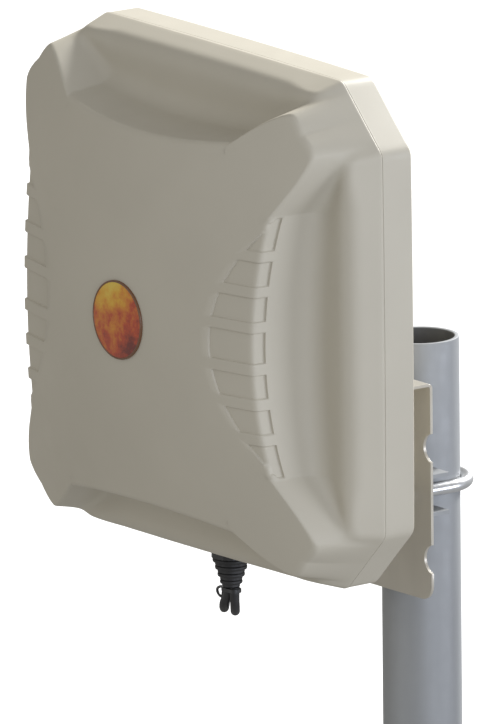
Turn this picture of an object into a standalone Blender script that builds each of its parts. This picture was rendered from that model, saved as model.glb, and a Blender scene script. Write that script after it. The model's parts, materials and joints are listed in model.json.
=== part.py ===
"""Outdoor panel antenna of a wireless link: a domed square radome on a shallow back cover,
held by a sheet-steel bracket and a U-bolt on a vertical mast stub.

Metres, +Z up. The mast's axis is the Z axis and its cut foot stands at the origin.
The antenna looks along -Y. Pieces of the antenna are placed in its own frame, whose origin is
the middle of the seam between radome and back cover.
"""

import math

import bmesh
import bpy
from mathutils import Matrix, Vector

MM = 0.001
GAP = 0.3 * MM

# Mast and the antenna's place on it
MAST_RADIUS = 25 * MM
MAST_WALL = 3 * MM
MAST_LENGTH = 292 * MM
STANDOFF = 151 * MM
HEAD_RISE = 45 * MM
HEAD_Z = MAST_LENGTH + HEAD_RISE

# Seam outline: a square with slightly bowed sides and cut, rounded corners
SIDE_HALF = 165.6 * MM
SIDE_BOW = 0.9 * MM
CORNER_START = 124 * MM
CORNER_RADIUS = 7 * MM
BACK_DEPTH = 24 * MM
COVER_WALL = 3.4 * MM

# Radome: a spherical dome with a scoop cut into each of its four sides
DOME_HEIGHT = 86.5 * MM
DOME_CURVE = 1.1
RADOME_WALL = 4 * MM
SCOOP_EDGE = 120 * MM
SCOOP_BOW = 0.9
SCOOP_STRAIGHT = 85 * MM
SCOOP_TIP = (149.5 * MM, 124.5 * MM)
DOME_CORNER = 138 * MM
SHELF_DEPTH = 24 * MM
SHELF_FOOT = 4.5 * MM
SHELF_LIP = 7 * MM
SHELF_END = 97 * MM
FILLET = 13 * MM
CORNER_STEPS = 7
FILLET_STEPS = 2

# Grip pockets that cross the dome's edge on the left and right
POCKET_DEPTH = 1.5 * MM
POCKET_DRAFT = 0.8 * MM
POCKET_REACH = 10 * MM
POCKET_HALF = 9.9 * MM
POCKET_HEIGHT = 15.5 * MM
POCKET_END_HEIGHT = 20.9 * MM
POCKET_RIB = 7.4 * MM
POCKET_INNER = 84 * MM
POCKET_BOW = 6.8
MOST_WALL_SHARE = 0.4
LEAST_STEP = 0.02
DOME_MIDDLE = 0.5

# Cover screws, reflector posts and bracket bosses, as distances from the antenna's middle
COVER_SCREW_SIDE = 143 * MM
COVER_SCREW_ALONG = 62 * MM
POST_SPAN = 112 * MM
BOLT_X = 30 * MM
BOLT_Z = (-78 * MM, -142 * MM)

# Bracket: a bent steel sheet with a front plate, a top flange and a wide rear plate
SHEET = 2 * MM
BEND_RADIUS = 3.5 * MM
FRONT_HALF = 46 * MM
REAR_HALF = 60 * MM
REAR_Y = 114 * MM
BRACKET_TOP = -60 * MM
FRONT_BOTTOM = -160 * MM
REAR_BOTTOM = -201 * MM
SCALLOP_RADIUS = 9.5 * MM
SCALLOP_OFFSET = 36 * MM

# Mast clamp
CLAMP_Z = -138 * MM
ROD_RADIUS = 4 * MM
LEG_X = MAST_RADIUS + GAP + ROD_RADIUS
LEG_FRONT = 94 * MM
SADDLE_HALF = 42 * MM
SADDLE_TALL = 13.5 * MM
SADDLE_REACH = 142 * MM

# Cable exit
GLAND_X = -13 * MM
GLAND_Y = 11 * MM
CABLE_RADIUS = 3 * MM
CABLE_PITCH = 6.4 * MM
BOOT_END = -189 * MM
BOOT_RADIUS = 7.2 * MM
BOOT_TAPER = 4.6 * MM
TIE_TOP = -190 * MM
TIE_WIDTH = 2.4 * MM
TAIL_ROUTE = [
    (0, 11, -191.2), (-3, 12, -191.6), (-7.5, 13.8, -192.6), (-12, 15.2, -194.6), (-13.2, 16, -197.2),
    (-10.8, 16.2, -199.4), (-6.8, 16, -199.4), (-4, 15.6, -198),
]
CONNECTOR_Z = -112 * MM
CONNECTOR_Y = 33 * MM
CONNECTOR_X = (-62 * MM, -76 * MM)

BODY_NAME = "outdoor_link_antenna"
COLORS = {
    "radome_plastic": ((0.50, 0.465, 0.40), 0.45, 0.0),
    "badge_print": ((0.62, 0.20, 0.03), 0.3, 0.0),
    "black_rubber": ((0.02, 0.02, 0.02), 0.55, 0.0),
    "black_nylon": ((0.03, 0.03, 0.03), 0.45, 0.0),
    "galvanised_steel": ((0.52, 0.54, 0.55), 0.38, 1.0),
    "stainless_sheet": ((0.50, 0.49, 0.46), 0.3, 1.0),
    "bright_steel": ((0.72, 0.72, 0.73), 0.18, 1.0),
    "aluminium": ((0.75, 0.76, 0.77), 0.35, 1.0),
    "circuit_board": ((0.05, 0.22, 0.10), 0.4, 0.0),
    "brass": ((0.72, 0.52, 0.22), 0.3, 1.0),
    "white_nylon": ((0.8, 0.8, 0.78), 0.5, 0.0),
}


def clear_scene():
    for obj in list(bpy.data.objects):
        bpy.data.objects.remove(obj, do_unlink=True)


def new_collection(name):
    collection = bpy.data.collections.new(name)
    bpy.context.scene.collection.children.link(collection)
    return collection


clear_scene()
PARTS = new_collection(BODY_NAME)
CUTTERS = new_collection("cutters")
HEAD = bpy.data.objects.new("head_frame", None)
HEAD.location = (0, -STANDOFF, HEAD_Z)
PARTS.objects.link(HEAD)


def material(slot):
    found = bpy.data.materials.get(slot)
    if found:
        return found
    color, roughness, metallic = COLORS[slot]
    made = bpy.data.materials.new(slot)
    made.use_nodes = True
    shader = made.node_tree.nodes["Principled BSDF"]
    shader.inputs["Base Color"].default_value = (*color, 1)
    shader.inputs["Roughness"].default_value = roughness
    shader.inputs["Metallic"].default_value = metallic
    return made


def add_part(name, mesh, slot, location=(0, 0, 0), parent=HEAD):
    obj = bpy.data.objects.new(name, mesh)
    own = material(slot).copy()
    own.name = name
    mesh.materials.append(own)
    mesh.shade_smooth()
    mesh.set_sharp_from_angle(angle=math.radians(30))
    obj.location = location
    obj.parent = parent
    PARTS.objects.link(obj)
    return obj


def add_cutter(name, mesh, location=(0, 0, 0), parent=HEAD):
    obj = bpy.data.objects.new(name, mesh)
    obj.location = location
    obj.parent = parent
    obj.hide_render = True
    obj.display_type = "WIRE"
    CUTTERS.objects.link(obj)
    return obj


def boolean(target, tool, operation="DIFFERENCE"):
    modifier = target.modifiers.new(tool.name, "BOOLEAN")
    modifier.operation = operation
    modifier.solver = "EXACT"
    modifier.object = tool


def mesh_from(name, bm):
    bmesh.ops.recalc_face_normals(bm, faces=bm.faces)
    mesh = bpy.data.meshes.new(name)
    bm.to_mesh(mesh)
    bm.free()
    return mesh


AXES = {
    "X": Matrix.Rotation(math.pi / 2, 4, "Y"),
    "Y": Matrix.Rotation(-math.pi / 2, 4, "X"),
    "Z": Matrix.Identity(4),
}


def rod_mesh(name, stages, axis="Z", sides=16):
    """Stacked round stages, each (radius, length), turned about the axis from the origin onwards."""
    profile = [(0.0, 0.0)]
    for radius, length in stages:
        level = profile[-1][1]
        profile += [(radius, level), (radius, level + length)]
    profile.append((0.0, profile[-1][1]))
    bm = bmesh.new()
    verts = [bm.verts.new((radius, 0, level)) for radius, level in profile]
    edges = [bm.edges.new(pair) for pair in zip(verts, verts[1:])]
    bmesh.ops.spin(
        bm, geom=verts + edges, cent=(0, 0, 0), axis=(0, 0, 1), angle=2 * math.pi, steps=sides
    )
    bmesh.ops.remove_doubles(bm, verts=bm.verts, dist=0.001 * MM)
    centres = [vert for vert in bm.verts if vert.co.xy.length < 0.001 * MM]
    bmesh.ops.dissolve_verts(bm, verts=centres)
    bm.transform(AXES[axis])
    return mesh_from(name, bm)


def bridge(bm, first, second):
    """Quads between two closed rings of equal count."""
    count = len(first)
    for i in range(count):
        j = (i + 1) % count
        bm.faces.new((first[i], first[j], second[j], second[i]))


def arc(center, radius, start, end, steps=5):
    """Points of an arc, angles in degrees."""
    made = []
    for i in range(steps + 1):
        angle = math.radians(start + (end - start) * i / steps)
        made.append((center[0] + radius * math.cos(angle), center[1] + radius * math.sin(angle)))
    return made


def box_mesh(name, low, high):
    bm = bmesh.new()
    bmesh.ops.create_cube(bm, size=1)
    size = Vector(high) - Vector(low)
    middle = (Vector(high) + Vector(low)) / 2
    bmesh.ops.scale(bm, vec=size, verts=bm.verts)
    bmesh.ops.translate(bm, vec=middle, verts=bm.verts)
    return mesh_from(name, bm)


def prism_mesh(name, outline, low, high, axis="X"):
    """A closed outline extruded along an axis, from low to high."""
    place = {
        "X": lambda a, b, c: (c, a, b),
        "Y": lambda a, b, c: (a, c, b),
        "Z": lambda a, b, c: (a, b, c),
    }[axis]
    bm = bmesh.new()
    cap = bm.faces.new([bm.verts.new(place(a, b, low)) for a, b in outline])
    made = bmesh.ops.extrude_face_region(bm, geom=[cap], use_keep_orig=True)["geom"]
    far_cap = [item for item in made if isinstance(item, bmesh.types.BMVert)]
    bmesh.ops.translate(bm, vec=place(0, 0, high - low), verts=far_cap)
    return mesh_from(name, bm)


def ring_mesh(name, inner, outer, low, high, axis="Z", sides=32, outer_sides=None):
    """A straight ring with a round bore and a round or many-sided outside, between two levels."""
    bm = bmesh.new()
    for radius, reverse in ((outer, False), (inner, True)):
        count = outer_sides if outer_sides and not reverse else sides
        bmesh.ops.create_cone(
            bm, segments=count, radius1=radius, radius2=radius, depth=high - low, cap_ends=False
        )
    bmesh.ops.translate(bm, vec=(0, 0, (low + high) / 2), verts=bm.verts)
    edges = [edge for edge in bm.edges if edge.is_boundary]
    for level in (low, high):
        loop = [e for e in edges if all(abs(v.co.z - level) < 1e-7 for v in e.verts)]
        bmesh.ops.triangle_fill(bm, use_beauty=True, edges=loop)
    bm.transform(AXES[axis])
    return mesh_from(name, bm)


def tube_object(name, points, radius, slot, resolution=2):
    """A round wire or cable through the points, as a curve with filled caps."""
    curve = bpy.data.curves.new(name, "CURVE")
    curve.dimensions = "3D"
    curve.bevel_depth = radius
    curve.bevel_resolution = resolution
    curve.use_fill_caps = True
    spline = curve.splines.new("POLY")
    spline.points.add(len(points) - 1)
    for point, co in zip(spline.points, points):
        point.co = (*co, 1)
    own = material(slot).copy()
    own.name = name
    curve.materials.append(own)
    obj = bpy.data.objects.new(name, curve)
    obj.parent = HEAD
    PARTS.objects.link(obj)
    return obj


def smooth_route(points, per_span):
    """Points on a Catmull-Rom curve through the route's own points."""
    points = [Vector(p) for p in points]
    ends = [2 * points[0] - points[1], *points, 2 * points[-1] - points[-2]]
    route = []
    for a, b, c, d in zip(ends, ends[1:], ends[2:], ends[3:]):
        for step in range(per_span):
            t = step / per_span
            route.append(
                0.5 * (2 * b + (c - a) * t + (2 * a - 5 * b + 4 * c - d) * t**2
                       + (3 * b - a - 3 * c + d) * t**3)
            )
    return [*route, points[-1]]


# --- Outline and radome surface ------------------------------------------------------------


def bezier(points, count):
    """Points on a Bezier curve, without its first point."""
    made = []
    for step in range(1, count + 1):
        line = [Vector(p) for p in points]
        while len(line) > 1:
            line = [a.lerp(b, step / count) for a, b in zip(line, line[1:])]
        made.append(line[0])
    return made


def side_x(along):
    """How far the seam stands out at a place along a side."""
    return SIDE_HALF - SIDE_BOW * (along / CORNER_START) ** 2


def edge_x(along):
    """Where the dome's edge runs beside a scoop."""
    return SCOOP_EDGE + SCOOP_BOW * along**2


def evenly(path, count):
    """count points at even distances along a path, without its first point."""
    lengths = [0.0]
    for a, b in zip(path, path[1:]):
        lengths.append(lengths[-1] + (b - a).length)
    made = []
    for step in range(1, count + 1):
        want = lengths[-1] * step / count
        k = next(i for i in range(1, len(path)) if lengths[i] >= want - 1e-12)
        share = (want - lengths[k - 1]) / (lengths[k] - lengths[k - 1])
        made.append(path[k - 1].lerp(path[k], share))
    return made


def seam_corner(count):
    """The seam from the end of the straight part of a scoop to the corner's middle."""
    start = CORNER_START - CORNER_RADIUS / 2
    path = [Vector((side_x(a), a)) for a in (SCOOP_STRAIGHT, (SCOOP_STRAIGHT + start) / 2, start)]
    bend = Vector((side_x(CORNER_START), CORNER_START))
    chamfer = Vector((-1, 1)).normalized()
    path += bezier([path[-1], bend, bend + chamfer * CORNER_RADIUS / 2], 8)
    middle = (bend.x + bend.y) / 2
    path.append(Vector((middle, middle)))
    return evenly(path, count)


def dome_corner(count):
    """The dome's edge from the straight part of a scoop, round its tip, to the corner's middle."""
    start = Vector((edge_x(SCOOP_STRAIGHT), SCOOP_STRAIGHT))
    tip = Vector(SCOOP_TIP)
    middle = Vector((DOME_CORNER, DOME_CORNER))
    out = start + Vector((3.5, 6)) * MM
    back = tip - Vector((4.5, 16)) * MM
    path = [start, *bezier([start, out, back, tip], 12)]
    path += bezier([tip, tip + Vector((0, 6)) * MM, middle], 8)
    return evenly(path, count)


def pockets():
    """(low, high) heights of the grip pockets, from the middle one outwards."""
    spans = [(-POCKET_HALF, POCKET_HALF)]
    low = POCKET_HALF + POCKET_RIB
    for height in (POCKET_HEIGHT, POCKET_HEIGHT, POCKET_END_HEIGHT):
        spans += [(low, low + height), (-low - height, -low)]
        low += height + POCKET_RIB
    return spans


def side_stations(has_pockets):
    """Distances from a side's middle of the mesh lines along its straight part."""
    if has_pockets:
        heights = {0.0}
        for low, high in pockets():
            for level in (low, high):
                heights |= {level - POCKET_DRAFT / 2, level + POCKET_DRAFT / 2}
        heights = sorted(h for h in heights if 0 <= h < SCOOP_STRAIGHT)
    else:
        heights = [SCOOP_STRAIGHT * i / 6 for i in range(6)]
    return [*heights, SCOOP_STRAIGHT]


def half_side(has_pockets, corner_count):
    """Matched (edge point, seam point) pairs from a side's middle to the corner's middle."""
    pairs = []
    for along in side_stations(has_pockets):
        pairs.append((Vector((edge_x(along), along)), Vector((side_x(along), along))))
    pairs += list(zip(dome_corner(corner_count), seam_corner(corner_count)))
    return pairs


def around():
    """Matched (edge, seam, pocket side) for the whole antenna, anticlockwise seen from the front."""
    found = []
    for quarter in range(4):
        turn = Matrix.Rotation(quarter * math.pi / 2, 2)
        has_pockets = quarter % 2 == 0
        half = half_side(has_pockets, CORNER_STEPS)
        mirrored = [tuple(Vector((p.x, -p.y)) for p in pair) for pair in reversed(half[1:])]
        for edge, seam in [*mirrored[1:], *half]:
            found.append((turn @ edge, turn @ seam, turn, has_pockets))
    return found


def dome_depth(p):
    return -DOME_HEIGHT + DOME_CURVE * p.length_squared


def in_pocket(height):
    return any(low + POCKET_DRAFT / 4 < height < high - POCKET_DRAFT / 4 for low, high in pockets())


def rounded(points, reach, steps):
    """A four-point profile with its two inner corners rounded, always the same number of points."""
    start, foot, lip, end = points
    made = [start]
    for before, corner, after in ((start, foot, lip), (foot, lip, end)):
        cut = min(reach, 0.42 * (corner - before).length, 0.42 * (after - corner).length)
        a = corner + (before - corner).normalized() * cut
        b = corner + (after - corner).normalized() * cut
        made += [a, *bezier([a, corner, b], steps)]
    return [*made, end]


def scoop_share(edge):
    """1 beside a scoop and 0 round a corner, where the wall drops straight to the seam."""
    along = min(abs(edge.x), abs(edge.y))
    share = (SCOOP_TIP[1] - along) / (SCOOP_TIP[1] - SHELF_END)
    share = max(0.0, min(1.0, share))
    return share * (2 - share)


def wall_profile(edge, seam, inset, steps):
    """Points of the side wall from the dome's edge down to the seam, as (plan point, depth).
    inset moves the wall inwards, for the radome's inside."""
    out = (seam - edge).normalized()
    run = (seam - edge).length
    share = scoop_share(edge)
    top = dome_depth(edge)
    foot = Vector((SHELF_FOOT, -SHELF_DEPTH)) * share + Vector((run / 3, top * 2 / 3)) * (1 - share)
    lip = Vector((run - SHELF_LIP, -SHELF_DEPTH)) * share
    lip += Vector((run * 2 / 3, top / 3)) * (1 - share)
    corners = [Vector((0, top)), foot, lip, Vector((run, 0))]
    if inset:
        drop = Vector((-inset, inset))
        corners = [corners[0] + drop, foot + drop, lip + drop, corners[3] - Vector((inset * 0.8, 0))]
    profile = rounded(corners, FILLET, steps)
    return [(edge + out * p.x, p.y) for p in profile]


def dome_run(edge, turn):
    """Points of one mesh line over the dome, as (plan point, whether a pocket sinks it)."""
    local = turn.transposed() @ edge
    nearest = local.x - 2 * MM
    if abs(local.y) > SCOOP_STRAIGHT:
        start = edge * (nearest / local.x)
    else:
        start = turn @ Vector((min(POCKET_INNER + POCKET_BOW * local.y**2, nearest), local.y))
    sunk_start = start + turn @ Vector((POCKET_DRAFT, 0))
    return [(start * DOME_MIDDLE, False), (start, False), (sunk_start, True), (edge, True)]


def wall_run(edge, seam):
    """Points of one mesh line down the side wall, as (plan point, depth, whether a pocket sinks it)."""
    wall = wall_profile(edge, seam, 0, FILLET_STEPS)
    (top, top_depth), (foot, foot_depth) = wall[:2]
    run = []
    for reach, sunk in ((POCKET_REACH - POCKET_DRAFT, True), (POCKET_REACH, False)):
        share = min(MOST_WALL_SHARE, reach / (foot_depth - top_depth))
        if not sunk:
            share += LEAST_STEP
        run.append((top.lerp(foot, share), top_depth + (foot_depth - top_depth) * share, sunk))
    return [*run, *((place, depth, False) for place, depth in wall[1:])]


def radome_rings(lines):
    """Rings of the radome's outer skin, from near the middle of the dome to the seam."""
    columns = []
    for edge, seam, turn, has_pockets in lines:
        sunk_line = has_pockets and in_pocket((turn.transposed() @ edge).y)
        inward = turn @ Vector((-POCKET_DEPTH, 0))
        points = []
        for place, sunk in dome_run(edge, turn):
            depth = dome_depth(place)
            if sunk and sunk_line:
                depth += POCKET_DEPTH
                if place is edge:
                    place = place + inward
            points.append(Vector((place.x, depth, place.y)))
        for place, depth, sunk in wall_run(edge, seam):
            if sunk and sunk_line:
                place = place + inward
            points.append(Vector((place.x, depth, place.y)))
        columns.append(points)
    return [list(ring) for ring in zip(*columns)]


def inner_rings(lines):
    """Rings of the radome's inner skin, from the seam to near the middle of the dome."""
    columns = []
    for edge, seam, turn, has_pockets in lines:
        wall = wall_profile(edge, seam, RADOME_WALL, 1)
        points = [Vector((place.x, depth, place.y)) for place, depth in reversed(wall)]
        top = wall[0][0]
        for share in (0.97, DOME_MIDDLE):
            place = top * share
            points.append(Vector((place.x, dome_depth(place) + RADOME_WALL, place.y)))
        columns.append(points)
    return [list(ring) for ring in zip(*columns)]


def loft(name, rings):
    """A closed body through rings of equal count, its first and last ring capped to their middles."""
    bm = bmesh.new()
    made = [[bm.verts.new(p) for p in ring] for ring in rings]
    for first, second in zip(made, made[1:]):
        bridge(bm, first, second)
    for ring in (made[0], made[-1]):
        middle = bm.verts.new(sum((v.co for v in ring), Vector()) / len(ring))
        for i, vert in enumerate(ring):
            bm.faces.new((vert, ring[(i + 1) % len(ring)], middle))
    return mesh_from(name, bm)


def closed_band(name, rings):
    """A closed body through rings of equal count that returns to its first ring."""
    bm = bmesh.new()
    made = [[bm.verts.new(p) for p in ring] for ring in rings]
    for first, second in zip(made, made[1:] + made[:1]):
        bridge(bm, first, second)
    return mesh_from(name, bm)


def seam_ring(lines, inset, depth):
    """The seam outline, moved inwards, at one depth."""
    ring = []
    for _, seam, _, _ in lines:
        place = seam * (1 - inset / max(abs(seam.x), abs(seam.y)))
        ring.append(Vector((place.x, depth, place.y)))
    return ring


def seam_lines():
    """The seam outline in the form that around() gives, for pieces that only follow the seam."""
    found = []
    for quarter in range(4):
        turn = Matrix.Rotation(quarter * math.pi / 2, 2)
        half = [Vector((side_x(a), a)) for a in (0, SCOOP_STRAIGHT / 2, SCOOP_STRAIGHT)]
        half += seam_corner(CORNER_STEPS)
        mirrored = [Vector((p.x, -p.y)) for p in reversed(half[1:])]
        for seam in [*mirrored[1:], *half]:
            found.append((None, turn @ seam, turn, False))
    return found


# --- Casing ---------------------------------------------------------------------------------


def eight_places(side, along):
    """Places on the four sides, two to a side, as (X, Z)."""
    places = []
    for sign in (-1, 1):
        for way in (-1, 1):
            places += [(side * sign, along * way), (along * way, side * sign)]
    return places


def four_places(span_x, span_z):
    return [(x, z) for z in span_z for x in (-span_x, span_x)]


def make_radome():
    lines = around()
    skin = loft("radome_cover", radome_rings(lines) + inner_rings(lines))
    radome = add_part("radome_cover", skin, "radome_plastic")
    for number, (x, z) in enumerate(eight_places(COVER_SCREW_SIDE, COVER_SCREW_ALONG), 1):
        length = SHELF_DEPTH - RADOME_WALL + 1.5 * MM
        column = rod_mesh("column", [(5 * MM, length)], "Y", 12)
        tool = add_cutter(f"screw_column_{number}", column, (x, -length, z))
        boolean(radome, tool, "UNION")
        hole = rod_mesh("hole", [(2.2 * MM, 16 * MM)], "Y", 10)
        boolean(radome, add_cutter(f"screw_hole_{number}", hole, (x, -15 * MM, z)))


def make_back_cover():
    lines = seam_lines()
    rings = [seam_ring(lines, 60 * MM, BACK_DEPTH)]
    rings += [seam_ring(lines, 2 * MM, BACK_DEPTH), seam_ring(lines, 0.3 * MM, BACK_DEPTH - 1.7 * MM)]
    rings += [seam_ring(lines, 0, GAP), seam_ring(lines, 1.7 * MM, GAP)]
    rings += [seam_ring(lines, 1.7 * MM, 2.6 * MM), seam_ring(lines, COVER_WALL, 2.6 * MM)]
    inside = BACK_DEPTH - COVER_WALL
    rings += [seam_ring(lines, COVER_WALL, inside), seam_ring(lines, 60 * MM, inside)]
    cover = add_part("back_cover", loft("back_cover", rings), "radome_plastic")
    for number, (x, z) in enumerate(eight_places(COVER_SCREW_SIDE, COVER_SCREW_ALONG), 1):
        length = inside + 1 * MM - GAP
        tower = rod_mesh("tower", [(5.5 * MM, length)], "Y", 12)
        boolean(cover, add_cutter(f"tower_{number}", tower, (x, GAP, z)), "UNION")
        bore = rod_mesh("bore", [(2.3 * MM, 12 * MM), (4.2 * MM, 16 * MM)], "Y", 12)
        boolean(cover, add_cutter(f"tower_bore_{number}", bore, (x, -1 * MM, z)))
    for number, (x, z) in enumerate(four_places(POST_SPAN, (-POST_SPAN, POST_SPAN)), 1):
        post = rod_mesh("post", [(4 * MM, inside - 7 * MM)], "Y", 12)
        boolean(cover, add_cutter(f"post_{number}", post, (x, 8 * MM, z)), "UNION")
        bore = rod_mesh("bore", [(1.8 * MM, 10 * MM)], "Y", 8)
        boolean(cover, add_cutter(f"post_bore_{number}", bore, (x, 7 * MM, z)))
    for number, (x, z) in enumerate(four_places(BOLT_X, BOLT_Z), 1):
        boss = rod_mesh("boss", [(8 * MM, inside - 8 * MM)], "Y", 16)
        boolean(cover, add_cutter(f"boss_{number}", boss, (x, 9 * MM, z)), "UNION")
        bore = rod_mesh("bore", [(4.6 * MM, 20 * MM)], "Y", 12)
        boolean(cover, add_cutter(f"boss_bore_{number}", bore, (x, 8 * MM, z)))
    gland_hole = rod_mesh("gland_hole", [(7.3 * MM, 20 * MM)], "Z", 20)
    boolean(cover, add_cutter("gland_hole", gland_hole, (GLAND_X, GLAND_Y, -SIDE_HALF - 8 * MM)))
    vent_hole = rod_mesh("vent_hole", [(4.3 * MM, 20 * MM)], "Y", 12)
    boolean(cover, add_cutter("vent_hole", vent_hole, (95 * MM, 12 * MM, -135 * MM)))


def make_gasket():
    lines = seam_lines()
    rings = [seam_ring(lines, 2 * MM, GAP), seam_ring(lines, 3.2 * MM, GAP)]
    rings += [seam_ring(lines, 3.2 * MM, 2.3 * MM), seam_ring(lines, 2 * MM, 2.3 * MM)]
    add_part("seam_gasket", closed_band("seam_gasket", rings), "black_rubber")


def make_badge():
    radius = 25.4 * MM
    rings = []
    for share, lift in ((0.5, 1.0), (0.92, 1.0), (1.0, 0.5), (1.0, -0.3), (0.5, -0.3)):
        ring = []
        for turn in range(32):
            angle = 2 * math.pi * turn / 32
            place = Vector((math.cos(angle), math.sin(angle))) * radius * share
            bulge = max(dome_depth(place), -DOME_HEIGHT) - lift * MM - 2 * GAP
            ring.append(Vector((place.x, bulge, place.y)))
        rings.append(ring)
    add_part("round_badge", loft("round_badge", rings), "badge_print")


def make_cover_screws():
    for number, (x, z) in enumerate(eight_places(COVER_SCREW_SIDE, COVER_SCREW_ALONG), 1):
        mesh = rod_mesh("screw", [(1.9 * MM, 22 * MM), (3.8 * MM, 3 * MM)], "Y", 12)
        add_part(f"cover_screw_{number}", mesh, "bright_steel", (x, -10.5 * MM, z))


# --- Radiating parts inside the casing ---------------------------------------------------------


def square_plate(name, half, thickness, slot, depth, turned=False):
    corners = [(-half, -half), (half, -half), (half, half), (-half, half)]
    if turned:
        reach = half * math.sqrt(2)
        corners = [(0, -reach), (reach, 0), (0, reach), (-reach, 0)]
    mesh = prism_mesh(name, corners, depth, depth + thickness, "Y")
    return add_part(name, mesh, slot)


def make_radiator():
    reflector = square_plate("reflector_plate", 126 * MM, 1.5 * MM, "aluminium", 6 * MM)
    for number, (x, z) in enumerate(four_places(POST_SPAN, (-POST_SPAN, POST_SPAN)), 1):
        hole = rod_mesh("hole", [(1.9 * MM, 6 * MM)], "Y", 8)
        boolean(reflector, add_cutter(f"reflector_hole_{number}", hole, (x, 4 * MM, z)))
        screw = rod_mesh("screw", [(3 * MM, 1.8 * MM), (1.5 * MM, 8 * MM)], "Y", 10)
        add_part(f"reflector_screw_{number}", screw, "bright_steel", (x, 3.9 * MM, z))
    square_plate("feed_board", 62 * MM, 1.6 * MM, "circuit_board", 4.1 * MM)
    square_plate("driven_patch", 40 * MM, 1 * MM, "aluminium", -12 * MM, turned=True)
    square_plate("director_patch", 32 * MM, 1 * MM, "aluminium", -34 * MM, turned=True)
    spacer_low, spacer_high = -11 * MM + GAP, 4.1 * MM - GAP
    for number, (x, z) in enumerate(((28, 0), (0, 28), (-28, 0), (0, -28)), 1):
        spacer = rod_mesh("spacer", [(3 * MM, spacer_high - spacer_low)], "Y", 12)
        add_part(f"patch_spacer_{number}", spacer, "white_nylon", (x * MM, spacer_low, z * MM))
    length = 21 * MM - 2 * GAP
    post = rod_mesh("director_post", [(4 * MM, length)], "Y", 12)
    add_part("director_post", post, "white_nylon", (0, -33 * MM + GAP, 0))
    for number, sign in enumerate((-1, 1), 1):
        probe = rod_mesh("probe", [(0.8 * MM, spacer_high - spacer_low)], "Y", 8)
        add_part(f"feed_probe_{number}", probe, "brass", (14 * MM * sign, spacer_low, -14 * MM))


def make_inner_coax():
    for number, sign in enumerate((-1, 1), 1):
        start = GLAND_X + sign * CABLE_PITCH / 2
        points = [(14 * MM * sign, 14.5 * MM, -20 * MM), (14 * MM * sign, 14.5 * MM, -45 * MM)]
        points += [(start, 13 * MM, -110 * MM), (start, GLAND_Y, -140 * MM), (start, GLAND_Y, -149 * MM)]
        route = smooth_route(points, 4)
        tube_object(f"inner_coax_{number}", route, 1.8 * MM, "black_nylon")


# --- Cable exit ----------------------------------------------------------------------------------


def make_gland():
    floor = -SIDE_HALF + COVER_WALL
    body = rod_mesh("gland_body", [(12.5 * MM, 4 * MM), (7 * MM, 13 * MM)], "Z", 24)
    add_part("gland_body", body, "black_nylon", (GLAND_X, GLAND_Y, -SIDE_HALF - 4.3 * MM))
    nut = ring_mesh("gland_locknut", 7.3 * MM, 9.3 * MM, 0, 3.5 * MM, "Z", 20, 6)
    add_part("gland_locknut", nut, "black_nylon", (GLAND_X, GLAND_Y, floor + 0.8 * MM))
    top = -SIDE_HALF - 4.6 * MM
    boot = rod_mesh("gland_boot", boot_stages(top - BOOT_END, 4), "Z", 16)
    add_part("gland_boot", boot, "black_rubber", (GLAND_X, GLAND_Y, BOOT_END))


def boot_stages(length, fins):
    """Alternating grooves and fins of the strain relief, wider towards the casing."""
    stages = []
    step = length / (2 * fins)
    for fin in range(fins):
        width = BOOT_RADIUS + BOOT_TAPER * fin / (fins - 1)
        stages += [(width - 1.4 * MM, step), (width, step)]
    return stages


def cable_points(number):
    """A tail's own route: down out of the boot, round in a loop and up behind the back cover."""
    x = GLAND_X + (CABLE_PITCH / 2 if number == 0 else -CABLE_PITCH / 2)
    end_x = CONNECTOR_X[number]
    bulge = 0 if number == 0 else -5
    lead = [(x, GLAND_Y, BOOT_END - drop * MM) for drop in (0.4, 2.5, 5)]
    shift = [
        (-2 + bulge, 2, -13), (-10 + bulge, 8, -18.5), (-19 + bulge * 0.6, 14.5, -14),
        (-24 + bulge * 0.4, 18.5, -2), (-27 + bulge * 0.3, 20.5, 14), (-36 + bulge * 0.3, 21, 34),
    ]
    turn = [(x + a * MM, GLAND_Y + b * MM, BOOT_END + c * MM) for a, b, c in shift]
    rise = [(end_x, CONNECTOR_Y, level * MM) for level in (-140, -132, -125)]
    return [*lead, *turn, *rise, (end_x, CONNECTOR_Y, CONNECTOR_Z - GAP)]


def make_tails():
    for number, letter in enumerate("ab"):
        tube_object(
            f"cable_{letter}", smooth_route(cable_points(number), 3), CABLE_RADIUS, "black_rubber", 2
        )
        place = (CONNECTOR_X[number], CONNECTOR_Y, CONNECTOR_Z)
        stages = [(4.1 * MM, 14 * MM), (4.6 * MM, 5 * MM), (3.2 * MM, 9 * MM)]
        body = rod_mesh("connector", stages, "Z", 16)
        add_part(f"connector_{letter}", body, "brass", place)
        nut = ring_mesh("coupling_nut", 3.5 * MM, 4.9 * MM, 0, 8.5 * MM, "Z", 16, 6)
        nut_place = (place[0], place[1], place[2] + 19.4 * MM)
        add_part(f"coupling_nut_{letter}", nut, "brass", nut_place)


def make_clip():
    low = (CONNECTOR_X[1] - 7 * MM, BACK_DEPTH + GAP, -131 * MM)
    high = (CONNECTOR_X[0] + 7 * MM, CONNECTOR_Y + 5.5 * MM, -123 * MM)
    clip = add_part("cable_clip", box_mesh("cable_clip", low, high), "black_nylon")
    for number, x in enumerate(CONNECTOR_X, 1):
        bore = rod_mesh("bore", [(CABLE_RADIUS + 0.35 * MM, 14 * MM)], "Z", 16)
        boolean(clip, add_cutter(f"clip_bore_{number}", bore, (x, CONNECTOR_Y, -132 * MM)))


def stadium(radius):
    """The outline of a strap that lies round both tails, as (X, Y)."""
    half = CABLE_PITCH / 2
    right = arc((GLAND_X + half, GLAND_Y), radius, -90, 90, 8)
    return [*right, *arc((GLAND_X - half, GLAND_Y), radius, 90, 270, 8)]


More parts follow.
